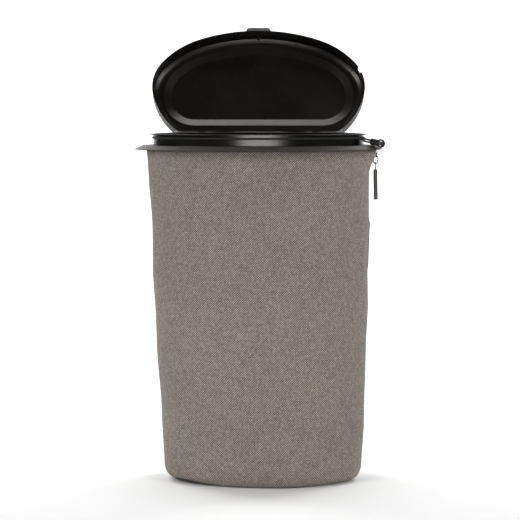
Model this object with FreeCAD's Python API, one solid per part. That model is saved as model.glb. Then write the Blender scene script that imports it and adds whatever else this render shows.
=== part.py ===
import FreeCAD, Part
import math, os
from FreeCAD import Vector as V

# ---------------------------------------------------------------------------
# Soft-sided waste bin: fabric bag hung from a rigid oval plastic rim with a
# hinged lid.  Millimetres, +Z up.  Origin: centre of the base's underside.
# Front is -Y, the lid hinge is at the back (+Y), the side zip is at +X.
# The lid is stored open, leaning back on its stops.
# ---------------------------------------------------------------------------
os.makedirs("parts", exist_ok=True)

# --- driving dimensions ----------------------------------------------------
ZC = 349.0               # underside of the collar's flange
LID_OPEN = 118.0         # degrees from closed to the open stop
RIM_BF = 62.2            # neck: widest line to the front
RIM_R = [186.57, 86.318, 40.2, 69.601, 4.71]      # neck outline, arc radii from the front centre
RIM_A = [20.075, 30.857, 50.736, 38.869]          # and their angles; the last one closes at the back line
BASE_BF = 62.0           # base of the bag
BASE_R = [164.889, 86.821, 43.579, 75.106, 22.0]
BASE_A = [19.887, 29.609, 57.621, 23.984]
BASE_DX = 4.7            # the bag's base hangs a little to the right
PANEL_BF = 48.2          # lid's centre panel
PANEL_R = [172.933, 63.179, 35.698, 26.0, 26.0]
PANEL_A = [21.526, 24.056, 57.0, 74.0]

O_COLLAR = 19.6          # offsets from the neck's outline
O_FLAT = 11.2
O_TOPFL = 2.8
O_LID = 5.3
O_BAG = 7.6
BAG_DX = 1.0
T_FABRIC = 1.4
Z_FOLD = 10.0            # height of the base's turned-up edge
HINGE_Y, HINGE_Z = 59.5, ZC + 11.9
PIN_R = 1.5
LIP_Z = ZC + 5.2         # lid's lip when shut
SKIRT = 20.4
CORD_D = 2.1
CORD_Z = ZC + 12.4
ZIP_TRAVEL = 290.0


def half_arcs(R, A, bf, off):
    """right half of an outline, from the front centre, as (start, mid, end)"""
    R = list(R)
    A = list(A) + [180.0 - sum(A)]
    p = (0.0, -(bf + off))
    h = 0.0
    out = []
    for r, a in zip(R, A):
        r += off
        a = math.radians(a)
        c = (p[0] - r * math.sin(h), p[1] + r * math.cos(h))
        m = (c[0] + r * math.sin(h + a / 2), c[1] - r * math.cos(h + a / 2))
        q = (c[0] + r * math.sin(h + a), c[1] - r * math.cos(h + a))
        out.append((p, m, q))
        p = q
        h += a
    return out


def outline(kind, off, z, dx=0.0):
    R, A, bf = {"rim": (RIM_R, RIM_A, RIM_BF), "base": (BASE_R, BASE_A, BASE_BF),
                "panel": (PANEL_R, PANEL_A, PANEL_BF)}[kind]
    arcs = half_arcs(R, A, bf, off)
    pt = lambda q: V(q[0] + dx, q[1], z)
    mir = lambda q: V(-q[0] + dx, q[1], z)
    edges = [Part.Arc(pt(a), pt(b), pt(c)).toShape() for a, b, c in arcs]
    edges.append(Part.LineSegment(pt(arcs[-1][2]), mir(arcs[-1][2])).toShape())
    for a, b, c in reversed(arcs):
        edges.append(Part.Arc(mir(c), mir(b), mir(a)).toShape())
    return Part.Wire(edges)


def prism(kind, off, z0, z1, dx=0.0):
    return Part.Face(outline(kind, off, z0, dx)).extrude(V(0, 0, z1 - z0))


def ring(kind, o_out, o_in, z0, z1, dx=0.0):
    return prism(kind, o_out, z0, z1, dx).cut(prism(kind, o_in, z0 - 1, z1 + 1, dx))


def loft(w0, w1):
    return Part.makeLoft([w0, w1], True, True)


def box(x0, x1, y0, y1, z0, z1):
    return Part.makeBox(x1 - x0, y1 - y0, z1 - z0, V(x0, y0, z0))


def cyl(r, p, d, h):
    return Part.makeCylinder(r, h, V(*p), V(*d))


def bag_space(off, z0=Z_FOLD, z1=ZC - 0.4):
    """solid inside the bag wall's outer face moved out by off, full height"""
    return loft(outline("base", off, Z_FOLD, BASE_DX), outline("rim", O_BAG + off, ZC - 0.4, BAG_DX))


def bag_x(z):
    """x of the bag's outer face on the zip's line (y = 0)"""
    xt = 117.0 - 6.6 + O_BAG + BAG_DX
    xb = 103.0 + BASE_DX
    return xb + (z - Z_FOLD) * (xt - xb) / (ZC - 0.4 - Z_FOLD)


ZIP_SLOPE = (bag_x(300) - bag_x(100)) / 200.0
ZIP_DEG = math.degrees(math.atan(ZIP_SLOPE))


def on_zip(shape, z):
    """put a shape drawn round x = 0, z = 0 on the zip's slanted line at height z"""
    s = shape.copy()
    s.rotate(V(0, 0, 0), V(0, 1, 0), ZIP_DEG)
    s.translate(V(bag_x(z), 0, z))
    return s


def tube(points, d, name):
    """straight runs joined by tangent arcs, each as large as its two runs allow"""
    P = [V(*p) for p in points]
    edges = []
    radii = []
    last = P[0]
    length = 0.0
    for i in range(1, len(P) - 1):
        a, b, c = P[i - 1], P[i], P[i + 1]
        u = (b - a)
        w = (c - b)
        run = min(u.Length, w.Length)
        u = u.normalize()
        w = w.normalize()
        turn = math.acos(max(-1.0, min(1.0, u.dot(w))))
        t = 0.45 * run
        r = t / math.tan(turn / 2)
        radii.append(r)
        s = b - u * t
        e = b + w * t
        bis = (w - u).normalize()
        centre = b + bis * (r / math.cos(turn / 2))
        mid = centre - bis * r
        edges.append(Part.LineSegment(last, s).toShape())
        length += (s - last).Length
        edges.append(Part.Arc(s, mid, e).toShape())
        length += r * turn
        last = e
    edges.append(Part.LineSegment(last, P[-1]).toShape())
    length += (P[-1] - last).Length
    path = Part.Wire(edges)
    start_dir = (P[1] - P[0]).normalize()
    prof = Part.Wire([Part.Circle(P[0], start_dir, d / 2).toShape()])
    solid = path.makePipeShell([prof], True, False)
    vol = math.pi * d * d / 4 * length
    print("%s: length %.1f, volume %.1f against %.1f, smallest radius %.1f, radii %s"
          % (name, length, solid.Volume, vol, min(radii), [round(x, 1) for x in radii]))
    return solid


def try_fillet(shape, r, pick):
    edges = [e for e in shape.Edges if pick(e)]
    if not edges:
        return shape
    try:
        s = shape.makeFillet(r, edges)
        if s.isValid() and s.Volume > 0:
            return s
    except Exception as err:
        print("fillet left out:", err)
    return shape


def zrange(e, z, tol=0.01):
    b = e.BoundBox
    return abs(b.ZMin - z) < tol and abs(b.ZMax - z) < tol


nodes = {}

# --- collar: sloped outer flange, downward wall, hinge ears, lid stops -------
plate = prism("rim", O_COLLAR, ZC, ZC + 0.7)
slope = loft(outline("rim", O_COLLAR, ZC + 0.7), outline("rim", O_FLAT, ZC + 4.7))
wall = prism("rim", 3.3, ZC - 19.0, ZC + 1.0)
collar = plate.fuse([slope, wall])
ears = []
for sx in (-1, 1):
    for x0 in (26.0, 46.0):
        a, b = sorted((sx * x0, sx * (x0 + 6.0)))
        foot = box(a, b, HINGE_Y - 3.2, HINGE_Y + 3.2, ZC + 3.0, HINGE_Z)
        ears.append(foot.fuse(cyl(3.2, (a, HINGE_Y, HINGE_Z), (1, 0, 0), b - a)))
    a, b = sorted((sx * 58.0, sx * 66.0))
    ears.append(box(a, b, 65.8, 68.8, ZC + 0.3, ZC + 11.6))
collar = collar.fuse(ears)
collar = collar.cut(prism("rim", 0.3, ZC - 30, ZC + 10))
for sx in (-1, 1):
    a, b = sorted((sx * 25.0, sx * 53.0))
    collar = collar.cut(cyl(PIN_R + 0.02, (a, HINGE_Y, HINGE_Z), (1, 0, 0), b - a))
nodes["collar_ring"] = collar.removeSplitter()

# --- inner ring: neck with the thin top flange and the cord's groove ----------
neck = prism("rim", 0.0, ZC - 14.0, ZC + 16.8)
neck = neck.fuse(prism("rim", O_TOPFL, ZC + 15.2, ZC + 16.8))
neck = neck.cut(ring("rim", 2.0, -1.0, ZC + 11.1, ZC + 13.7))
neck = neck.cut(prism("rim", -2.2, ZC - 20, ZC + 20))
neck = neck.removeSplitter()
neck = try_fillet(neck, 0.6, lambda e: zrange(e, ZC + 16.8))
nodes["inner_ring"] = neck

# --- strip sewn inside the bag's hem, round the collar's wall -----------------
nodes["hem_band"] = ring("rim", 4.1, 3.4, ZC - 14.0, ZC - 1.0)

# --- hinge pins ---------------------------------------------------------------
nodes["hinge_pins"] = Part.makeCompound([
    cyl(PIN_R, (26.2 if s > 0 else -51.8, HINGE_Y, HINGE_Z), (1, 0, 0), 25.6) for s in (1, -1)])

# --- lid, drawn shut and then swung open --------------------------------------
z_top = LIP_Z + SKIRT
shell = prism("rim", O_LID, LIP_Z, z_top)
shell = try_fillet(shell, 4.6, lambda e: zrange(e, z_top))
shell = shell.fuse(loft(outline("panel", 8.7, z_top - 0.2), outline("panel", 0.6, z_top + 2.2)))
tab = box(-13.2, 13.2, -(RIM_BF + O_LID + 3.6), -(RIM_BF + O_LID - 0.5), LIP_Z + 0.2, LIP_Z + 2.4)
tab = try_fillet(tab, 3.0, lambda e: abs(e.BoundBox.ZLength - 2.2) < 1e-6 and e.BoundBox.YMin < -70)
shell = shell.fuse(tab)
# inside, a straight skirt, then a dished border in four easing steps, then the sunk panel
steps = [(1.7, -4.7), (3.5, -3.45), (5.4, -2.55), (7.3, -2.0), (9.2, -1.8)]
hollow = Part.makeLoft([outline("rim", O_LID - 1.7, LIP_Z - 1)] +
                       [outline("rim", O_LID - o, z_top + h) for o, h in steps], True, True)
hollow = hollow.fuse(loft(outline("panel", 8.5, z_top - 1.85), outline("panel", 0.0, z_top + 0.65)))
shell = shell.cut(hollow)
rib = box(-1.0, 1.0, -(RIM_BF + O_LID - 1.2), -(RIM_BF + O_LID - 3.2), ZC + 17.1, z_top - 3.6)
shell = shell.fuse(rib)
for sx in (-1, 1):
    a, b = sorted((sx * 32.3, sx * 45.7))
    knuckle = box(a, b, 50.0 + O_LID - 0.8, HINGE_Y, HINGE_Z - 2.6, HINGE_Z + 2.6)
    knuckle = knuckle.fuse(cyl(3.1, (a, HINGE_Y, HINGE_Z), (1, 0, 0), b - a))
    shell = shell.fuse(knuckle)
    shell = shell.cut(cyl(PIN_R + 0.06, (a - 1, HINGE_Y, HINGE_Z), (1, 0, 0), b - a + 2))
# the lip is notched at the right for the two strands of the liner cord
shell = shell.cut(box(100.0, 130.0, -22.9, -15.6, LIP_Z - 1, ZC + 13.3))
# and cut back towards the hinge, so that it swings clear of the ring's flange
relief = Part.makePolygon([V(-140.0, y, HINGE_Z - h) for y, h in
                           ((17.5, 6.72), (53.3, 4.0), (56.6, 4.0), (56.6, 9.0), (17.5, 9.0), (17.5, 6.72))])
shell = shell.cut(Part.Face(relief).extrude(V(280.0, 0, 0)))
shell = shell.removeSplitter()
shell.rotate(V(0, HINGE_Y, HINGE_Z), V(1, 0, 0), -LID_OPEN)
nodes["lid_shell"] = shell

# --- liner cord: tail, lock, groove all the way round, lock, tail --------------
CORD_ROUTE = [(129.3, -12.4, 356.1), (127.9, -16.2, 356.4), (125.62, -19.3, 357.06), (115.65, -19.3, 359.18),
              (112.4, -19.3, 359.87), (110.2, -18.8, 360.5), (108.9, -17.0, 361.1), (108.9, -14.2, 361.4), (111.11, 2.89, 361.4), (109.15, 13.72, 361.4),
              (105.06, 24.82, 361.4), (99.48, 34.61, 361.4), (93.52, 42.05, 361.4), (88.74, 46.78, 361.4),
              (84.54, 50.36, 361.4), (-84.55, 50.36, 361.4), (-88.83, 46.7, 361.4), (-93.6, 41.96, 361.4),
              (-99.54, 34.51, 361.4), (-105.11, 24.71, 361.4), (-109.18, 13.6, 361.4), (-111.11, 2.8, 361.4),
              (-110.0, -8.74, 361.4), (-105.42, -19.86, 361.4), (-97.1, -30.04, 361.4), (-85.86, -39.99, 361.4),
              (-71.13, -48.84, 361.4), (-49.41, -56.3, 361.4), (-25.42, -61.23, 361.4), (0.08, -63.01, 361.4),
              (25.58, -61.21, 361.4), (49.57, -56.26, 361.4), (71.22, -48.79, 361.4), (85.55, -40.16, 361.4),
              (95.56, -31.48, 361.4), (102.6, -24.4, 361.4), (106.6, -21.2, 360.9), (110.6, -19.6, 357.6),
              (115.18, -19.3, 356.99), (125.16, -19.3, 354.87), (127.4, -16.2, 354.3), (128.9, -12.4, 353.95)]
cord = tube(CORD_ROUTE, CORD_D, "drawcord")
nodes["drawcord"] = cord
knot = Part.makeSphere(2.35)
m = FreeCAD.Matrix()
m.scale(0.9, 0.8, 1.05)
knot = knot.transformGeometry(m)
knot.translate(V(128.6, -11.4, 355.0))
nodes["cord_knot"] = knot.cut(cord)

# --- cord lock: body with eyelet, push button, spring -------------------------
LOCK = V(120.5, 0.0, ZC + 8.0)
TILT = 12.0


def on_lock(shape):
    s = shape.copy()
    s.rotate(V(0, 0, 0), V(0, 1, 0), TILT)
    s.translate(LOCK)
    return s


body = box(-4.4, 4.4, -23.0, -12.9, -3.3, 3.3)
body = try_fillet(body, 1.6, lambda e: abs(e.BoundBox.YLength - 10.1) < 1e-6)
eye = cyl(4.6, (6.9, -17.2, 0), (0, 1, 0), 2.4)
body = body.fuse(eye).cut(cyl(2.6, (6.9, -18.0, 0), (0, 1, 0), 4.0))
body = body.cut(cyl(2.6, (0, -24.0, 0), (0, 1, 0), 10.1))
body = body.cut(box(-6.0, 6.0, -20.55, -18.05, -2.35, 2.35))
nodes["cord_lock_body"] = on_lock(body)
button = cyl(2.55, (0, -25.2, 0), (0, 1, 0), 8.2)
button = try_fillet(button, 0.6, lambda e: abs(e.BoundBox.YMin + 25.2) < 0.01 and e.BoundBox.YLength < 0.01)
button = button.cut(box(-6.0, 6.0, -22.5, -18.15, -2.35, 2.35))
nodes["cord_lock_plunger"] = on_lock(button)
helix = Part.makeHelix(0.9, 2.3, 1.75)
hw = Part.Wire(helix.Edges)
prof = Part.makePolygon([V(1.75 + 0.22 * math.cos(math.radians(a)), 0, 0.22 * math.sin(math.radians(a)))
                         for a in range(0, 361, 45)])
spring = hw.makePipeShell([prof], True, True)
spring.rotate(V(0, 0, 0), V(1, 0, 0), -90)
spring.translate(V(0, -16.65, 0))
nodes["cord_lock_spring"] = on_lock(spring)

# --- bag ------------------------------------------------------------------------
wall = bag_space(0.0).cut(bag_space(-T_FABRIC).fuse(
    [prism("base", -T_FABRIC, Z_FOLD - 2, Z_FOLD + 0.001, BASE_DX),
     prism("rim", O_BAG - T_FABRIC, ZC - 0.401, ZC + 2, BAG_DX)]))
wall = wall.common(box(-200, 200, -200, 200, Z_FOLD + 0.05, ZC - 0.45))
wall = wall.cut(box(60, 160, -4.8, 4.8, 14.0, ZC))
nodes["cover_wall"] = wall

bottom = prism("base", 0.0, 0.0, Z_FOLD, BASE_DX)
bottom = try_fillet(bottom, 8.5, lambda e: zrange(e, 0.0))
inside = prism("base", -T_FABRIC, T_FABRIC, Z_FOLD + 5, BASE_DX)
inside = try_fillet(inside, 7.1, lambda e: zrange(e, T_FABRIC))
nodes["cover_bottom"] = bottom.cut(inside)
nodes["base_board"] = prism("base", -8.2, T_FABRIC + 0.1, T_FABRIC + 2.6, BASE_DX)

# --- zip --------------------------------------------------------------------------
tape = bag_space(-T_FABRIC - 0.3).cut(bag_space(-T_FABRIC - 0.9))
nodes["zipper_tape_front"] = tape.common(box(60, 160, -14.0, -3.1, 13.0, ZC - 2.0))
nodes["zipper_tape_rear"] = tape.common(box(60, 160, 3.1, 14.0, 13.0, ZC - 2.0))


def comb(z0, z1, sign, phase):
    """one row of teeth joined along the tape's edge"""
    pitch = 2.3
    pts = [(3.0, z0), (3.0, z1), (1.3, z1)]
    n = int((z1 - z0 - 1.2) / pitch)
    z = z1 - 0.6 - phase
    for i in range(n - 1):
        pts += [(1.3, z), (0.75, z - 0.15), (0.75, z - 1.15), (1.3, z - 1.3)]
        z -= pitch
    pts += [(1.3, z0)]
    poly = Part.makePolygon([V(-2.6, sign * y, z - 180.0) for y, z in pts + pts[:1]])
    solid = Part.Face(poly).extrude(V(3.0, 0, 0))
    return on_zip(solid, 180.0)


TEETH_LO, TEETH_HI = 27.0, ZC - 2.6
nodes["zipper_teeth_front"] = comb(TEETH_LO, TEETH_HI, -1, 0.0)
nodes["zipper_teeth_rear"] = comb(TEETH_LO, TEETH_HI, 1, 1.15)
nodes["zipper_top_stops"] = Part.makeCompound([
    on_zip(box(-2.5, 0.3, min(s * 0.75, s * 2.9), max(s * 0.75, s * 2.9), 0.1, 1.5), TEETH_HI) for s in (-1, 1)])
nodes["zipper_bottom_stop"] = on_zip(box(-2.5, 0.5, -2.9, 2.9, 0.0, 3.0), TEETH_LO - 3.2)
skin = bag_space(1.1).cut(bag_space(0.15))
nodes["zipper_end_tab"] = skin.common(box(60, 160, -8.0, 8.0, 14.5, 23.0))

# slider: two plates joined by the divider, arch on the outer plate
SL_Z = ZC - 10.0
sl = box(-3.7, 1.5, -4.0, 4.0, 0.0, 9.0)
sl = try_fillet(sl, 0.7, lambda e: abs(e.BoundBox.ZLength - 9.0) < 1e-6)
sl = sl.cut(box(-2.9, 0.7, -3.3, 3.3, -1, 10))
sl = sl.cut(box(-2.75, -1.35, -5, 5, -1, 10))
sl = sl.fuse(box(-3.2, 1.0, -0.4, 0.4, 5.6, 9.0))
arch = box(1.4, 6.1, -0.8, 0.8, 5.0, 8.8)
arch = try_fillet(arch, 0.7, lambda e: abs(e.BoundBox.YLength - 1.6) < 1e-6 and e.BoundBox.XMin > 5)
arch = arch.cut(box(1.5, 5.35, -2, 2, 5.65, 7.9))
sl = sl.fuse(arch)
nodes["zipper_slider"] = on_zip(sl, SL_Z)
PULL_X = bag_x(SL_Z + 6.2) + 4.75
PULL_Z = SL_Z + 6.25

# pull tab: cross pin under the arch, two arms, eye for the ring
tabp = cyl(0.55, (0, -1.9, 0), (0, 1, 0), 3.8)
for s in (-1, 1):
    tabp = tabp.fuse(box(-0.6, 0.6, min(s * 1.05, s * 1.9), max(s * 1.05, s * 1.9), -1.9, 0.3))
plate = box(-0.6, 0.6, -1.9, 1.9, -4.8, -1.75)
tabp = tabp.fuse(plate).cut(cyl(1.0, (-2, 0, -3.1), (1, 0, 0), 4))
tabp.translate(V(PULL_X, 0, PULL_Z))
nodes["zipper_pull_tab"] = tabp.removeSplitter()

# thin oval ring, hanging in the plane across the zip, its foot leaning towards the bag
RING_LEAN = 8.0
RW, RH, RR = 2.2, 3.95, 0.62
RING_Z = PULL_Z - 3.1 - 0.2 - RH
st = RH - RW
ring_wire = Part.Wire([
    Part.Arc(V(RW, 0, st), V(0, 0, RH), V(-RW, 0, st)).toShape(),
    Part.LineSegment(V(-RW, 0, st), V(-RW, 0, -st)).toShape(),
    Part.Arc(V(-RW, 0, -st), V(0, 0, -RH), V(RW, 0, -st)).toShape(),
    Part.LineSegment(V(RW, 0, -st), V(RW, 0, st)).toShape()])
half = []
for z0, a0 in ((st, 0.0), (-st, 180.0)):
    t = Part.makeTorus(RW, RR, V(0, 0, z0), V(0, -1, 0), -180, 180, 180)
    half.append(t)
arcs = []
for zc, up in ((st, 1), (-st, -1)):
    t = Part.makeTorus(RW, RR, V(0, 0, zc), V(0, 1, 0))
    keep = box(-5, 5, -2, 2, zc, zc + 6) if up > 0 else box(-5, 5, -2, 2, zc - 6, zc)
    arcs.append(t.common(keep))
legs = [cyl(RR, (s * RW, 0, -st), (0, 0, 1), 2 * st) for s in (-1, 1)]
ring_s = arcs[0].fuse([arcs[1]] + legs)
ring_s.translate(V(PULL_X, 0, RING_Z))
ring_s.rotate(V(PULL_X, 0, RING_Z + RH), V(0, 1, 0), RING_LEAN)
nodes["puller_ring"] = ring_s.removeSplitter()

# short cord loop over the ring's lower wire, into the grip tube
LOOP_X = PULL_X - 2 * RH * math.sin(math.radians(RING_LEAN))
LOOP_Z = RING_Z + RH - 2 * RH * math.cos(math.radians(RING_LEAN))
TUBE_TOP = LOOP_Z - 6.0
cr = 0.6
loop_r = RR + 0.1 + cr
arc_part = Part.makeTorus(loop_r, cr, V(0, 0, 0), V(1, 0, 0)).common(box(-2, 2, -4, 4, 0, 4))
lp = arc_part
for s in (-1, 1):
    lp = lp.fuse(cyl(cr, (0, s * loop_r, 0), (0, 0, -1), 12.0))
lp.translate(V(LOOP_X, 0, LOOP_Z))
lp = lp.removeSplitter()
tb = cyl(2.2, (LOOP_X, 0, TUBE_TOP - 32.0), (0, 0, 1), 32.0)
tb = try_fillet(tb, 0.7, lambda e: e.BoundBox.ZLength < 1e-6 and e.BoundBox.XLength > 1)
tb = tb.cut(lp)
for name, shape in (("puller_cord", lp), ("puller_tube", tb)):
    shape.rotate(V(LOOP_X, 0, LOOP_Z), V(0, 1, 0), -1.2)
    nodes[name] = shape

for name, shape in nodes.items():
    ok = shape.isValid()
    print("%-22s valid %s solids %d volume %.1f box %s" % (
        name, ok, len(shape.Solids), shape.Volume,
        [round(v, 2) for v in (shape.BoundBox.XMin, shape.BoundBox.XMax, shape.BoundBox.YMin,
                               shape.BoundBox.YMax, shape.BoundBox.ZMin, shape.BoundBox.ZMax)]))
    shape.exportStep("parts/%s.step" % name)
print("hinge", HINGE_Y, HINGE_Z, "zip slope", ZIP_SLOPE, "pull", PULL_X, PULL_Z, "ring", RING_Z, "loop", LOOP_X, LOOP_Z)
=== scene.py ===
import bpy, bmesh, math, random
import numpy as np
from mathutils import Vector, Matrix


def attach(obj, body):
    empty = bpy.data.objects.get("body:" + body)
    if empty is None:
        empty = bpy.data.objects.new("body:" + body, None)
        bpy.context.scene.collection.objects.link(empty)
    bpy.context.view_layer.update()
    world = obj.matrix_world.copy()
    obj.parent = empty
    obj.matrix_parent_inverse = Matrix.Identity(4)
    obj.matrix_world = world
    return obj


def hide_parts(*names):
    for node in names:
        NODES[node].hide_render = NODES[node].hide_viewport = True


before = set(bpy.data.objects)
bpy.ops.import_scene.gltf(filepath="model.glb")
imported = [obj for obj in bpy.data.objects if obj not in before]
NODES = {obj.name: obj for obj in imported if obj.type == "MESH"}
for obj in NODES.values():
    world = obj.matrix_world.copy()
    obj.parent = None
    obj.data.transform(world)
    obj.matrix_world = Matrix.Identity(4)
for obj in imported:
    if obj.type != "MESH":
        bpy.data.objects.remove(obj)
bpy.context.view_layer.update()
scene = bpy.context.scene
RNG = random.Random(7)

# ------------------------------------------------------------------ camera
cam_data = bpy.data.cameras.new("camera")
cam = bpy.data.objects.new("camera", cam_data)
scene.collection.objects.link(cam)
cam_data.sensor_width = 36.0
cam_data.lens = 18.0 / math.tan(math.atan(260.0 / 2000.0))
cam_data.clip_start = 0.05
cam_data.clip_end = 60.0
cam.location = (0.0016, -2.1, 0.411)
PITCH = math.atan(170.0 / 2000.0)
cam.rotation_euler = (math.radians(90) - PITCH, 0, 0)
scene.camera = cam


# ------------------------------------------------------------------ geometry shared with the CAD (metres)
MM = 0.001
ZC = 0.349
RIM = (62.2, [186.57, 86.318, 40.2, 69.601, 4.71], [20.075, 30.857, 50.736, 38.869])
BASE = (62.0, [164.889, 86.821, 43.579, 75.106, 22.0], [19.887, 29.609, 57.621, 23.984])
PANEL = (48.2, [172.933, 63.179, 35.698, 26.0, 26.0], [21.526, 24.056, 57.0, 74.0])


def outline(kind, off_mm, counts=(24, 18, 26, 20, 10), line=40):
    """closed outline in metres, counter-clockwise from the front centre"""
    bf, R, A = kind
    A = list(A) + [180.0 - sum(A)]
    p = (0.0, -(bf + off_mm))
    h = 0.0
    pts = [p]
    for r, a, n in zip(R, A, counts):
        r += off_mm
        a = math.radians(a)
        c = (p[0] - r * math.sin(h), p[1] + r * math.cos(h))
        for i in range(1, n + 1):
            t = h + a * i / n
            pts.append((c[0] + r * math.sin(t), c[1] - r * math.cos(t)))
        p = pts[-1]
        h += a
    back = [(p[0] * (1 - 2 * i / line), p[1]) for i in range(1, line)]
    left = [(-x, y) for x, y in reversed(pts)]
    full = pts + back + left[:-1]
    return np.array(full) * MM


def new_mesh(name, verts, faces, smooth=True):
    me = bpy.data.meshes.new(name)
    me.from_pydata([tuple(v) for v in verts], [], [tuple(f) for f in faces])
    me.update()
    if smooth:
        me.polygons.foreach_set("use_smooth", [True] * len(me.polygons))
    ob = bpy.data.objects.new(name, me)
    scene.collection.objects.link(ob)
    return ob


def apply_modifiers(ob):
    bpy.context.view_layer.update()
    dg = bpy.context.evaluated_depsgraph_get()
    me = bpy.data.meshes.new_from_object(ob.evaluated_get(dg), preserve_all_data_layers=True, depsgraph=dg)
    ob.modifiers.clear()
    ob.data = me
    return ob


def smoothstep(a, b, x):
    t = np.clip((x - a) / (b - a), 0, 1)
    return t * t * (3 - 2 * t)


# ------------------------------------------------------------------ materials
class M:
    """small helper for node trees"""

    def __init__(self, name):
        self.m = bpy.data.materials.new(name)
        self.m.use_nodes = True
        self.t = self.m.node_tree
        self.t.nodes.clear()
        self.out = self.n("ShaderNodeOutputMaterial")
        self.b = self.n("ShaderNodeBsdfPrincipled")
        self.l(self.b.outputs[0], self.out.inputs[0])

    def n(self, kind, **kw):
        node = self.t.nodes.new(kind)
        for k, v in kw.items():
            setattr(node, k, v)
        return node

    def l(self, a, b):
        self.t.links.new(a, b)

    def math(self, op, a, b=None, clamp=False):
        node = self.n("ShaderNodeMath", operation=op, use_clamp=clamp)
        for i, v in enumerate((a, b)):
            if v is None:
                continue
            if isinstance(v, (int, float)):
                node.inputs[i].default_value = v
            else:
                self.l(v, node.inputs[i])
        return node.outputs[0]

    def mix(self, f, a, b):
        node = self.n("ShaderNodeMix", data_type="RGBA")
        for s, v in ((node.inputs[0], f), (node.inputs[6], a), (node.inputs[7], b)):
            if isinstance(v, (int, float)):
                s.default_value = v
            elif isinstance(v, tuple):
                s.default_value = (*v, 1.0)
            else:
                self.l(v, s)
        return node.outputs[2]

    def noise(self, scale, detail=2.0, rough=0.5, vec=None, dims="3D"):
        node = self.n("ShaderNodeTexNoise", noise_dimensions=dims)
        node.inputs["Scale"].default_value = scale
        node.inputs["Detail"].default_value = detail
        node.inputs["Roughness"].default_value = rough
        if vec is not None:
            self.l(vec, node.inputs["Vector"])
        return node.outputs[0]

    def coord(self):
        return self.n("ShaderNodeTexCoord").outputs["Object"]

    def maprange(self, v, a, b, c, d):
        node = self.n("ShaderNodeMapRange")
        self.l(v, node.inputs[0])
        for i, x in enumerate((a, b, c, d)):
            node.inputs[i + 1].default_value = x
        return node.outputs[0]

    def bump(self, height, strength, distance, prev=None):
        node = self.n("ShaderNodeBump")
        node.inputs["Strength"].default_value = strength
        node.inputs["Distance"].default_value = distance
        self.l(height, node.inputs["Height"])
        if prev is not None:
            self.l(prev, node.inputs["Normal"])
        return node.outputs[0]


def plastic(name, color, rough, grain=0.15, grain_scale=2500, spec=0.5, coat=0.0, wear=0.03):
    m = M(name)
    co = m.coord()
    big = m.noise(18.0, 4.0, 0.6, co)
    fine = m.noise(grain_scale, 2.0, 0.6, co)
    dust = m.noise(420.0, 6.0, 0.75, co)
    lighter = tuple(min(1.0, c * 1.35 + wear * 0.12) for c in color)
    darker = tuple(c * 0.8 for c in color)
    base = m.mix(m.maprange(big, 0.35, 0.65, 0.0, 1.0), darker, lighter)
    speck = m.maprange(dust, 0.66, 0.78, 0.0, 0.35)
    base = m.mix(speck, base, tuple(min(1.0, c + wear) for c in color))
    m.l(base, m.b.inputs["Base Color"])
    r = m.maprange(big, 0.3, 0.7, rough * 0.88, rough * 1.14)
    m.l(m.math("ADD", r, m.math("MULTIPLY", speck, 0.25)), m.b.inputs["Roughness"])
    m.b.inputs["Specular IOR Level"].default_value = spec
    m.b.inputs["Specular Tint"].default_value = (1.0, 0.955, 0.90, 1.0)
    if coat:
        m.b.inputs["Coat Weight"].default_value = coat
        m.b.inputs["Coat Roughness"].default_value = 0.08
    m.l(m.bump(fine, grain, 0.00006), m.b.inputs["Normal"])
    return m.m


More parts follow.
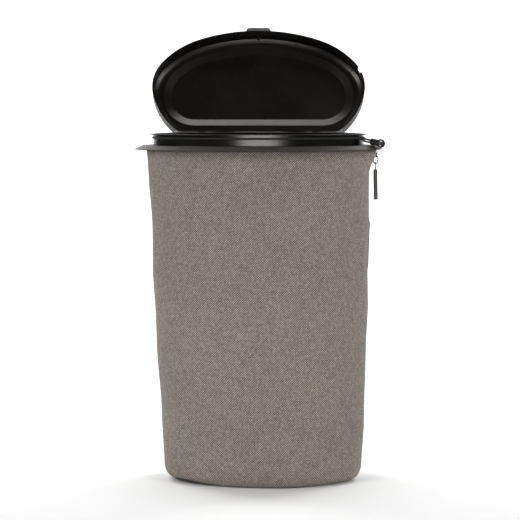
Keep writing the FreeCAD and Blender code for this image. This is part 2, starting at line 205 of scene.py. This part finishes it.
def woven(name, light, dark, pitch, depth, gap_shade_strength=1.0, sheen=0.25):
    """plain weave from the piece's own flat coordinates, stored per point as cloth_uv in metres"""
    m = M(name)
    at = m.n("ShaderNodeAttribute", attribute_name="cloth_uv")
    sep = m.n("ShaderNodeSeparateXYZ")
    m.l(at.outputs["Vector"], sep.inputs[0])
    # slight wander of the threads
    wob = m.noise(60.0, 2.0, 0.5, at.outputs["Vector"])
    wob = m.math("MULTIPLY", m.math("SUBTRACT", wob, 0.5), pitch * 0.55)
    u = m.math("ADD", sep.outputs[0], wob)
    v = m.math("ADD", sep.outputs[1], m.math("MULTIPLY", wob, -0.8))
    U = m.math("DIVIDE", u, pitch)
    W = m.math("DIVIDE", v, pitch * 0.97)
    iu, iv = m.math("FLOOR", U), m.math("FLOOR", W)
    fu = m.math("SUBTRACT", m.math("SUBTRACT", U, iu), 0.5)
    fv = m.math("SUBTRACT", m.math("SUBTRACT", W, iv), 0.5)
    par = m.math("FLOORED_MODULO", m.math("ADD", iu, iv), 2.0)
    cu = m.math("COSINE", m.math("MULTIPLY", fu, math.pi))
    cv = m.math("COSINE", m.math("MULTIPLY", fv, math.pi))
    warp_h = m.math("MULTIPLY", m.math("POWER", cu, 0.7), m.math("ADD", m.math("MULTIPLY", cv, 0.55), 0.45))
    weft_h = m.math("MULTIPLY", m.math("POWER", cv, 0.7), m.math("ADD", m.math("MULTIPLY", cu, 0.55), 0.45))
    hmix = m.n("ShaderNodeMix", data_type="FLOAT")
    m.l(par, hmix.inputs[0]); m.l(warp_h, hmix.inputs[2]); m.l(weft_h, hmix.inputs[3])
    height = hmix.outputs[0]
    # yarn colours: each thread a little different, and slubs along it
    cw = m.n("ShaderNodeCombineXYZ"); m.l(iu, cw.inputs[0]); m.l(m.math("MULTIPLY", W, 0.12), cw.inputs[1])
    cf = m.n("ShaderNodeCombineXYZ"); m.l(m.math("MULTIPLY", U, 0.12), cf.inputs[0]); m.l(m.math("ADD", iv, 531.0), cf.inputs[1])
    yw = m.noise(1.7, 2.0, 0.6, cw.outputs[0])
    yf = m.noise(1.7, 2.0, 0.6, cf.outputs[0])
    warp_c = m.mix(m.maprange(yw, 0.3, 0.7, 0.0, 1.0), tuple(c * 0.72 for c in light), tuple(min(1, c * 1.22) for c in light))
    weft_c = m.mix(m.maprange(yf, 0.3, 0.7, 0.0, 1.0), tuple(c * 0.72 for c in dark), tuple(min(1, c * 1.30) for c in dark))
    col = m.mix(par, warp_c, weft_c)
    # single bright and dark flecks
    ce = m.n("ShaderNodeCombineXYZ"); m.l(iu, ce.inputs[0]); m.l(iv, ce.inputs[1])
    wn = m.n("ShaderNodeTexWhiteNoise", noise_dimensions="2D"); m.l(ce.outputs[0], wn.inputs["Vector"])
    col = m.mix(m.maprange(wn.outputs["Value"], 0.0, 1.0, 0.0, 0.42), col, tuple(c * 0.45 for c in dark))
    # painted shade: the gaps between yarns are darkened as if in shadow
    yarn_gap_shade = m.maprange(height, 0.12, 0.62, 1.0, 0.0)
    col = m.mix(m.math("MULTIPLY", yarn_gap_shade, 0.62 * gap_shade_strength), col, tuple(c * 0.16 for c in dark))
    # broad, faint tone changes over the cloth
    big = m.noise(9.0, 3.0, 0.55, at.outputs["Vector"])
    col = m.mix(m.maprange(big, 0.3, 0.7, 0.0, 0.16), col, tuple(c * 0.55 for c in dark))
    # slubs: short thick places along the weft, and a few along the warp
    sv = m.n("ShaderNodeCombineXYZ")
    m.l(m.math("MULTIPLY", sep.outputs[0], 55.0), sv.inputs[0]); m.l(m.math("MULTIPLY", sep.outputs[1], 820.0), sv.inputs[1])
    slub = m.noise(1.0, 2.0, 0.6, sv.outputs[0])
    col = m.mix(m.maprange(slub, 0.60, 0.74, 0.0, 0.30), col, tuple(c * 0.6 for c in dark))
    col = m.mix(m.maprange(slub, 0.40, 0.27, 0.0, 0.22), col, light)
    # faint warm and cool patches in the melange
    tint = m.noise(38.0, 2.0, 0.5, at.outputs["Vector"])
    col = m.mix(m.maprange(tint, 0.58, 0.72, 0.0, 0.10), col, (light[0] * 0.62, light[1] * 0.60, light[2] * 0.72))
    col = m.mix(m.maprange(tint, 0.42, 0.28, 0.0, 0.10), col, (light[0] * 0.55, light[1] * 0.64, light[2] * 0.58))
    m.l(col, m.b.inputs["Base Color"])
    m.b.inputs["Roughness"].default_value = 0.92
    m.b.inputs["Specular IOR Level"].default_value = 0.22
    m.b.inputs["Sheen Weight"].default_value = sheen
    m.b.inputs["Sheen Roughness"].default_value = 0.5
    fib = m.noise(5200.0, 2.0, 0.7, at.outputs["Vector"])
    hh = m.math("ADD", height, m.math("MULTIPLY", fib, 0.25))
    m.l(m.bump(hh, 0.8, depth), m.b.inputs["Normal"])
    return m.m


def metal(name, color, rough, metallic=1.0):
    m = M(name)
    co = m.coord()
    fine = m.noise(900.0, 3.0, 0.6, co)
    big = m.noise(160.0, 3.0, 0.6, co)
    base = m.mix(m.maprange(big, 0.35, 0.7, 0.0, 1.0), tuple(c * 0.8 for c in color), tuple(min(1, c * 1.3) for c in color))
    m.l(base, m.b.inputs["Base Color"])
    m.b.inputs["Metallic"].default_value = metallic
    m.l(m.maprange(fine, 0.3, 0.7, rough * 0.8, rough * 1.25), m.b.inputs["Roughness"])
    m.l(m.bump(fine, 0.2, 0.00004), m.b.inputs["Normal"])
    return m.m


def braid(name, color, rough=0.75):
    """braided elastic cord: voronoi cells and fine noise in object coordinates give its colour and bump"""
    m = M(name)
    co = m.coord()
    n1 = m.noise(1800.0, 2.0, 0.6, co)
    vor = m.n("ShaderNodeTexVoronoi"); vor.inputs["Scale"].default_value = 1500.0
    m.l(co, vor.inputs["Vector"])
    base = m.mix(m.maprange(vor.outputs["Distance"], 0.1, 0.7, 0.0, 1.0), tuple(min(1, c * 1.6) for c in color), tuple(c * 0.5 for c in color))
    m.l(base, m.b.inputs["Base Color"])
    m.b.inputs["Roughness"].default_value = rough
    m.b.inputs["Sheen Weight"].default_value = 0.15
    h = m.math("ADD", vor.outputs["Distance"], m.math("MULTIPLY", n1, 0.4))
    m.l(m.bump(h, 0.7, 0.0002), m.b.inputs["Normal"])
    return m.m


MAT = {}
MAT["collar"] = plastic("collar_plastic", (0.0135, 0.0120, 0.0106), 0.44, grain=0.3, spec=0.22)
MAT["ring"] = plastic("ring_plastic", (0.0022, 0.0019, 0.0016), 0.22, grain=0.05, spec=0.5, wear=0.003)
MAT["lid"] = plastic("lid_plastic", (0.0026, 0.0022, 0.0018), 0.285, grain=0.10, spec=0.46, wear=0.006)
MAT["skirt"] = plastic("lid_skirt_plastic", (0.0026, 0.0022, 0.0018), 0.42, grain=0.25, spec=0.17, wear=0.006)
# painted highlight: the front finger tab's light grey stands in for light catching it; it is moulded with the
# near-black lid
MAT["tab"] = plastic("tab_plastic_painted_highlight", (0.095, 0.095, 0.093), 0.36, spec=0.75)
MAT["hem"] = plastic("hem_plastic", (0.02, 0.02, 0.02), 0.5)
MAT["lock"] = plastic("lock_plastic", (0.005, 0.005, 0.005), 0.5, spec=0.22, wear=0.006)
MAT["board"] = plastic("board_plastic", (0.05, 0.05, 0.05), 0.6)
MAT["teeth"] = plastic("teeth_plastic", (0.006, 0.006, 0.006), 0.3)
MAT["grip"] = plastic("grip_plastic", (0.060, 0.060, 0.058), 0.42, grain=0.4)
MAT["pin"] = metal("pin_steel", (0.55, 0.55, 0.56), 0.3)
MAT["slider"] = plastic("slider_metal", (0.005, 0.005, 0.005), 0.55, grain=0.1, spec=0.22, wear=0.006)
MAT["cord"] = braid("cord_elastic", (0.010, 0.010, 0.010))
MAT["fabric"] = woven("bag_fabric", (0.60, 0.535, 0.465), (0.125, 0.108, 0.092), 0.00122, 0.00030, sheen=0.10)
MAT["tape"] = woven("tape_fabric", (0.012, 0.012, 0.012), (0.008, 0.008, 0.008), 0.0007, 0.0002, 1.0, 0.0)


def set_mat(node, key):
    o = NODES[node]
    o.data.materials.clear()
    o.data.materials.append(MAT[key])


for node, key in (("collar_ring", "collar"), ("inner_ring", "ring"), ("hem_band", "hem"), ("hinge_pins", "pin"),
                  ("lid_shell", "lid"), ("cord_knot", "cord"), ("cord_lock_body", "lock"),
                  ("cord_lock_plunger", "lock"), ("cord_lock_spring", "pin"), ("base_board", "board"),
                  ("zipper_top_stops", "teeth"), ("zipper_bottom_stop", "teeth"), ("zipper_end_tab", "tape"),
                  ("zipper_slider", "slider"), ("zipper_pull_tab", "slider"), ("puller_ring", "slider"),
                  ("puller_cord", "cord"), ("puller_tube", "grip")):
    set_mat(node, key)

lid_me = NODES["lid_shell"].data
lid_me.materials.append(MAT["tab"])
lid_me.materials.append(MAT["skirt"])
ca, sa = math.cos(math.radians(118)), math.sin(math.radians(118))
for poly in lid_me.polygons:
    c = poly.center
    dy, dz = c.y - 0.0595, c.z - 0.3609
    y_shut, z_shut = 0.0595 + dy * ca - dz * sa, 0.3609 + dy * sa + dz * ca
    # the front finger tab gets the lighter tab material, a painted highlight
    if abs(c.x) < 0.0136 and y_shut < -0.0677:
        poly.material_index = 1
        continue
    n = poly.normal
    ny, nz = n.y * ca - n.z * sa, n.y * sa + n.z * ca
    if abs(nz) < 0.25 and n.x * c.x + ny * y_shut > 0.03 and y_shut < 0.052:
        poly.material_index = 2

# ------------------------------------------------------------------ liner cord
CORD_ROUTE = [(129.3, -12.4, 356.1), (127.9, -16.2, 356.4), (125.62, -19.3, 357.06), (115.65, -19.3, 359.18),
              (112.4, -19.3, 359.87), (110.2, -18.8, 360.5), (108.9, -17.0, 361.1), (108.9, -14.2, 361.4), (111.11, 2.89, 361.4), (109.15, 13.72, 361.4),
              (105.06, 24.82, 361.4), (99.48, 34.61, 361.4), (93.52, 42.05, 361.4), (88.74, 46.78, 361.4),
              (84.54, 50.36, 361.4), (-84.55, 50.36, 361.4), (-88.83, 46.7, 361.4), (-93.6, 41.96, 361.4),
              (-99.54, 34.51, 361.4), (-105.11, 24.71, 361.4), (-109.18, 13.6, 361.4), (-111.11, 2.8, 361.4),
              (-110.0, -8.74, 361.4), (-105.42, -19.86, 361.4), (-97.1, -30.04, 361.4), (-85.86, -39.99, 361.4),
              (-71.13, -48.84, 361.4), (-49.41, -56.3, 361.4), (-25.42, -61.23, 361.4), (0.08, -63.01, 361.4),
              (25.58, -61.21, 361.4), (49.57, -56.26, 361.4), (71.22, -48.79, 361.4), (85.55, -40.16, 361.4),
              (95.56, -31.48, 361.4), (102.6, -24.4, 361.4), (106.6, -21.2, 360.9), (110.6, -19.6, 357.6),
              (115.18, -19.3, 356.99), (125.16, -19.3, 354.87), (127.4, -16.2, 354.3), (128.9, -12.4, 353.95)]
# the long straight stretch behind the lid keeps tight to the two corners
CORD_ROUTE[15:15] = [(72.0, 50.36, 361.4), (-72.0, 50.36, 361.4)]
cu = bpy.data.curves.new("drawcord_line", "CURVE")
cu.dimensions = "3D"
cu.bevel_depth = 0.00105
cu.bevel_resolution = 5
cu.resolution_u = 8
cu.use_fill_caps = True
sp = cu.splines.new("NURBS")
sp.points.add(len(CORD_ROUTE) - 1)
for p, q in zip(sp.points, CORD_ROUTE):
    p.co = (q[0] * MM, q[1] * MM, q[2] * MM, 1.0)
sp.order_u = 3
sp.use_endpoint_u = True
drawcord = bpy.data.objects.new("liner_cord", cu)
scene.collection.objects.link(drawcord)
drawcord.data.materials.append(MAT["cord"])
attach(drawcord, "bin")
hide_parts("drawcord")

# ------------------------------------------------------------------ bag wall
LEFT = [(350, -117.2), (348, -117.0), (332, -115.2), (309, -113.9), (297, -112.8), (272, -110.9), (247, -110.6), (222, -110.3),
        (209, -109.6), (196, -108.6), (184, -107.6), (159, -106.5), (134, -105.4), (121, -104.4), (109, -103.3),
        (96, -102.2), (84, -101.3), (58, -100.1), (33, -98.4), (16, -98.0), (0, -98.0)]
RIGHT = [(350, 117.6), (348, 117.4), (332, 117.0), (325, 116.2), (309, 115.1), (272, 114.9), (240, 114.4), (222, 113.9), (184, 113.4),
         (172, 112.8), (159, 112.0), (147, 111.2), (109, 110.4), (96, 109.6), (58, 109.2), (45, 108.6), (28, 108.2), (0, 107.6)]


LEFT_FIX = [(0, -1.4), (19, -1.9), (40, -2.4), (83, -1.8), (126, -2.0), (169, -1.6), (211, -1.5), (254, -1.05), (296, -0.75), (322, -1.1), (350, -0.3)]
RIGHT_FIX = [(0, 0.9), (10, 0.8), (19, 1.1), (30, 2.0), (40, 2.7), (83, 3.2), (105, 3.1), (190, 2.8), (211, 2.1), (232, 1.5), (253, 1.5), (275, 2.1),
             (296, 2.2), (322, 1.0), (332, 0.3), (350, 0)]
LEFT = [(a, b + float(np.interp(a, *zip(*LEFT_FIX)))) for a, b in LEFT]
RIGHT = [(a, b + float(np.interp(a, *zip(*RIGHT_FIX)))) for a, b in RIGHT]


def smooth_interp(table, z):
    zs = np.array([a for a, _ in table][::-1], float)
    xs = np.array([b for _, b in table][::-1], float)
    grid = np.linspace(0, 350, 176)
    val = np.interp(grid, zs, xs)
    k = np.exp(-np.linspace(-2, 2, 9) ** 2)
    k /= k.sum()
    val = np.convolve(np.pad(val, 4, mode="edge"), k, "valid")
    return np.interp(z, grid, val)


TOP_L = outline(RIM, 7.6) + np.array([0.001, 0.0])
BOT_L = outline(BASE, 0.0) + np.array([0.0047, 0.0])
FOLD = 0.0095


def wall_loop(z):
    """closed loop of the bag's outer face at height z (before the base fold), in metres"""
    f = np.clip((z - 0.010) / 0.3386, -0.03, 1.0)
    loop = BOT_L * (1 - f) + TOP_L * f
    xl, xr = smooth_interp(LEFT, z * 1000) * MM, smooth_interp(RIGHT, z * 1000) * MM
    x = loop[:, 0]
    x0, x1 = x.min(), x.max()
    loop = loop.copy()
    loop[:, 0] = xl + (x - x0) * (xr - xl) / (x1 - x0)
    return loop


GAP = 0.0044


def open_loop(loop, n, gap):
    """resample a loop from the zip's rear edge round the back, left and front to its front edge"""
    x, y = loop[:, 0], loop[:, 1]
    # find the crossing of y = 0 on the right
    i = [k for k in range(len(x)) if x[k] > 0.05 and y[k] <= 0 < y[(k + 1) % len(x)]][0]
    seq = np.roll(loop, -(i + 1), axis=0)
    a, b = loop[i], loop[(i + 1) % len(x)]
    t = -a[1] / (b[1] - a[1])
    start = a + (b - a) * t
    seq = np.vstack([start, seq, start])
    s = np.r_[0, np.cumsum(np.linalg.norm(np.diff(seq, axis=0), axis=1))]
    total = s[-1]
    q = np.linspace(gap, total - gap, n)
    return np.c_[np.interp(q, s, seq[:, 0]), np.interp(q, s, seq[:, 1])], q, total


def bumps(x, y, z, ang):
    """slack in the cloth: broad dents and soft vertical folds, outward in metres"""
    d = 0.0007 * np.sin(2.1 * ang + 9.0 * z + 0.6) * np.sin(13 * z + 0.8)
    d += 0.0006 * np.sin(5.0 * ang - 7.0 * z + 1.9) * (0.35 + 0.65 * smoothstep(0.0, 0.2, z))
    d += 0.00035 * np.sin(9.0 * ang + 16.0 * z) * smoothstep(0.15, 0.34, z)
    d += 0.00045 * np.sin(7.0 * ang + 3.0 - 22.0 * z) * smoothstep(0.14, 0.0, z)
    return d


NU = 440
ROWS = list(np.linspace(0.3487, 0.0175, 150))
NF = 10
verts, uvs = [], []
v_run = 0.0
prev_z = None
rows_pts = []
for z in ROWS:
    loop = wall_loop(z)
    pts, q, total = open_loop(loop, NU, GAP)
    tang = np.gradient(pts, axis=0)
    tang /= np.linalg.norm(tang, axis=1)[:, None]
    nrm = np.c_[tang[:, 1], -tang[:, 0]]
    c = pts.mean(0)
    ang = np.arctan2(pts[:, 1] - c[1], pts[:, 0] - c[0])
    d = bumps(pts[:, 0], pts[:, 1], z, ang)
    d = d * (1 - 0.9 * np.exp(-((pts[:, 1] - 0.004) / 0.022) ** 2))
    hold = smoothstep(0.347, 0.325, z)                     # held straight at the hem
    d = d * (0.15 + 0.85 * hold)
    # the hem stands out beside the zip's top end
    near = np.exp(-((pts[:, 1] + 0.0125) / 0.011) ** 2) * (pts[:, 0] > 0.05)
    near2 = 0.75 * np.exp(-((pts[:, 1] - 0.0135) / 0.010) ** 2) * (pts[:, 0] > 0.05)
    d = d + np.maximum(near, near2) * 0.0072 * smoothstep(0.326, 0.3455, z)
    # and the cloth rolls in a little at the zip's edges
    edge = np.minimum(q - GAP, total - GAP - q)
    d = d - 0.0006 * np.exp(-(edge / 0.002) ** 2)
    pts = pts + nrm * d[:, None]
    # the foot pushes forward a little right of the middle
    push = 0.0068 * np.exp(-((pts[:, 0] - 0.034) / 0.058) ** 2) * (pts[:, 1] < 0) * smoothstep(0.095, 0.0, z)
    pts[:, 1] -= push
    if prev_z is not None:
        v_run += prev_z - z
    prev_z = z
    rows_pts.append(np.c_[pts, np.full(NU, z)])
    uvs.append(np.c_[q - total / 2, np.full(NU, -v_run)])
# the turned-under fold
base_row = rows_pts[-1]
tang = np.gradient(base_row[:, :2], axis=0)
tang /= np.linalg.norm(tang, axis=1)[:, None]
nrm = np.c_[tang[:, 1], -tang[:, 0]]
R = ROWS[-1] - 0.0007
RI = 0.0115
for k in range(1, NF + 1):
    a = math.pi / 2 * k / NF
    ins = RI * (1 - math.cos(a))
    z = ROWS[-1] - R * math.sin(a)
    p = base_row[:, :2] - nrm * ins
    rows_pts.append(np.c_[p, np.full(NU, z)])
    v_run += 0.0165 * math.pi / 2 / NF * 0.9
    uvs.append(np.c_[uvs[-1][:, 0], np.full(NU, -v_run)])
corner = np.exp(-((base_row[:, 0] + 0.082) / 0.026) ** 2) * (base_row[:, 1] < 0)
for r in rows_pts:
    low = smoothstep(0.045, 0.0, r[:, 2])
    r[:, 2] += 0.0034 * corner * low
V3 = np.vstack(rows_pts)
UV = np.vstack(uvs)
nr = len(rows_pts)
# the zip stops above the fold; the wall is one open strip of quads whose two edges are not joined
faces = []
for r in range(nr - 1):
    for k in range(NU - 1):
        a = r * NU + k
        faces.append((a, a + NU, a + NU + 1, a + 1))
wall = new_mesh("bag_wall", V3, faces)
att = wall.data.attributes.new("cloth_uv", "FLOAT_VECTOR", "POINT")
att.data.foreach_set("vector", np.c_[UV, np.zeros(len(UV))].astype(np.float32).ravel())
sol = wall.modifiers.new("cloth", "SOLIDIFY")
sol.thickness = 0.0013
sol.offset = -1.0
sol.use_even_offset = True
apply_modifiers(wall)
wall.data.materials.clear()
wall.data.materials.append(MAT["fabric"])
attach(wall, "bin")
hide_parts("cover_wall", "cover_bottom")

# ------------------------------------------------------------------ base panel of the bag
edge = rows_pts[-1][:, :2]
edge_z = rows_pts[-1][:, 2]
c = edge.mean(0)
rings = 14
bv, bu, bfaces = [], [], []
for r in range(rings + 1):
    f = 1.0 - r / rings
    f = 0.02 + 0.98 * f
    p = c + (edge - c) * f
    z = 0.0012 + 0.0006 * math.sin(f * 3.0)
    if r == 0:
        z = 0.0016
    bv.append(np.c_[p, z + (edge_z - edge_z.min()) * max(0.0, 1 - 6 * r / rings)])
    bu.append(p)
for r in range(rings):
    for k in range(NU):
        a, b = r * NU + k, r * NU + (k + 1) % NU
        bfaces.append((a, a + NU, b + NU, b))
bfaces.append(tuple((rings * NU + k) for k in range(NU)))
base = new_mesh("bag_base", np.vstack(bv), bfaces)
att = base.data.attributes.new("cloth_uv", "FLOAT_VECTOR", "POINT")
att.data.foreach_set("vector", np.c_[np.vstack(bu), np.zeros(len(np.vstack(bu)))].astype(np.float32).ravel())
sol = base.modifiers.new("cloth", "SOLIDIFY")
sol.thickness = 0.0012
sol.offset = 1.0
apply_modifiers(base)
base.data.materials.clear()
base.data.materials.append(MAT["fabric"])
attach(base, "bin")

# ------------------------------------------------------------------ zip: tapes and teeth follow the cloth's edges
zr = np.array([p[0][2] for p in rows_pts[:150]])
rear_edge = np.array([p[0] for p in rows_pts[:150]])
front_edge = np.array([p[-1] for p in rows_pts[:150]])
xmid = np.array([smooth_interp(RIGHT, z * 1000) * MM for z in zr])


def zip_x(z):
    """the teeth's line: the slider's line at the top, then just behind or just past the cloth's edge"""
    zz = z * 1000
    cad = 107.7 + (zz - 10.0) * 0.0333727
    proud = np.interp(zz, [0, 20, 60, 90, 120, 215, 228, 272, 282, 320, 350],
                      [0.5, 0.7, 0.5, -0.4, -2.4, -2.2, -0.2, 0.0, -2.2, -2.2, -2.0])
    cloth = float(smooth_interp(RIGHT, zz)) + proud
    k = float(smoothstep(318.0, 338.0, zz))
    return (min(cloth, cad + 0.6) * (1 - k) + cad * k) * MM


for side, sign in (("front", -1), ("rear", 1)):
    tv, tu = [], []
    zs = np.linspace(0.3465, 0.0135, 140)
    for z in zs:
        x = zip_x(z)
        for y, dx in ((0.0016, -0.0016), (0.0030, -0.0017), (0.0045, -0.0020), (0.0075, -0.0027), (0.0115, -0.0036), (0.0138, -0.0043)):
            tv.append((x + dx, sign * y, z))
            tu.append((y, z, 0))
    n = 6
    tf = [(r * n + k, r * n + k + 1, (r + 1) * n + k + 1, (r + 1) * n + k) for r in range(len(zs) - 1) for k in range(n - 1)]
    tape = new_mesh("zip_tape_" + side, tv, tf)
    att = tape.data.attributes.new("cloth_uv", "FLOAT_VECTOR", "POINT")
    att.data.foreach_set("vector", np.array(tu, np.float32).ravel())
    sol = tape.modifiers.new("t", "SOLIDIFY")
    sol.thickness = 0.0005
    sol.offset = 0
    apply_modifiers(tape)
    tape.data.materials.append(MAT["tape"])
    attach(tape, "bin")
    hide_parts("zipper_tape_" + side)


def tooth_bm(bm, x, z, sign):
    """one moulded tooth: a foot over the tape and a head past the middle"""
    prof = [(0.0030, -0.00055), (0.0030, 0.00055), (0.0012, 0.00045), (0.0004, 0.00082), (-0.0007, 0.00072),
            (-0.0010, 0.0), (-0.0007, -0.00072), (0.0004, -0.00082), (0.0012, -0.00045)]
    layers = [(-0.0026, 0.82), (-0.0023, 1.0), (0.0001, 1.0), (0.0004, 0.80)]
    rings_ = []
    for dx, s in layers:
        rings_.append([bm.verts.new((x + dx, sign * (0.0011 + (y - 0.0011) * s), z + q * s)) for y, q in prof])
    n = len(prof)
    for a, b in zip(rings_[:-1], rings_[1:]):
        for k in range(n):
            bm.faces.new((a[k], a[(k + 1) % n], b[(k + 1) % n], b[k]))
    bm.faces.new(rings_[0][::-1])
    bm.faces.new(rings_[-1])


for side, sign, ph in (("front", -1, 0.0), ("rear", 1, 0.00115)):
    bm = bmesh.new()
    z = 0.3462 - ph
    while z > 0.0272:
        tooth_bm(bm, zip_x(z), z, sign)
        z -= 0.0023
    bmesh.ops.recalc_face_normals(bm, faces=bm.faces)
    me = bpy.data.meshes.new("zip_teeth_" + side)
    bm.to_mesh(me)
    bm.free()
    ob = bpy.data.objects.new("zip_teeth_" + side, me)
    scene.collection.objects.link(ob)
    me.materials.append(MAT["teeth"])
    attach(ob, "bin")
    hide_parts("zipper_teeth_" + side)

# ------------------------------------------------------------------ stage
prof = [(-0.9, 0.0), (2.4, 0.0)]
for i in range(1, 13):
    t = math.radians(90 * i / 12)
    prof.append((2.4 + 0.9 * math.sin(t), 0.9 - 0.9 * math.cos(t)))
prof.append((3.3, 4.6))
sv, sf = [], []
for x in (-5.0, 5.0):
    for y, z in prof:
        sv.append((x, y, z))
n = len(prof)
for i in range(n - 1):
    sf.append((i, n + i, n + i + 1, i + 1))
floor = new_mesh("floor", sv, sf)
fm = M("floor_pale")
fm.b.inputs["Base Color"].default_value = (0.93, 0.93, 0.93, 1)
fm.b.inputs["Roughness"].default_value = 0.9
fm.b.inputs["Specular IOR Level"].default_value = 0.1
floor.data.materials.append(fm.m)

world = bpy.data.worlds.new("world")
scene.world = world
world.use_nodes = True
bg = world.node_tree.nodes["Background"]
bg.inputs[0].default_value = (1.0, 1.0, 1.0, 1)
bg.inputs[1].default_value = 0.06
scene.view_settings.view_transform = "Standard"
scene.view_settings.look = "None"


def area(name, loc, target, size, power, size_y=None):
    li = bpy.data.lights.new(name, "AREA")
    li.shape = "RECTANGLE"
    li.size = size
    li.size_y = size_y or size
    li.energy = power
    ob = bpy.data.objects.new(name, li)
    scene.collection.objects.link(ob)
    ob.location = loc
    d = Vector(target) - Vector(loc)
    ob.rotation_euler = d.to_track_quat("-Z", "Y").to_euler()
    return ob


area("key", (0.02, -2.7, 0.24), (0, 0, 0.33), 1.2, 15, 0.30)
area("left", (-1.9, -1.5, 1.45), (0, 0, 0.18), 1.1, 28, 0.8)
area("right", (1.9, -1.5, 1.45), (0, 0, 0.18), 1.1, 25.5, 0.8)
area("top", (0, 0.10, 2.3), (0, 0.08, 0.35), 1.1, 10, 0.5)
area("backdrop_l", (-1.6, 1.5, 2.6), (-0.6, 3.2, 0.7), 1.4, 85)
area("backdrop_r", (1.6, 1.5, 2.6), (0.6, 3.2, 0.7), 1.4, 85)
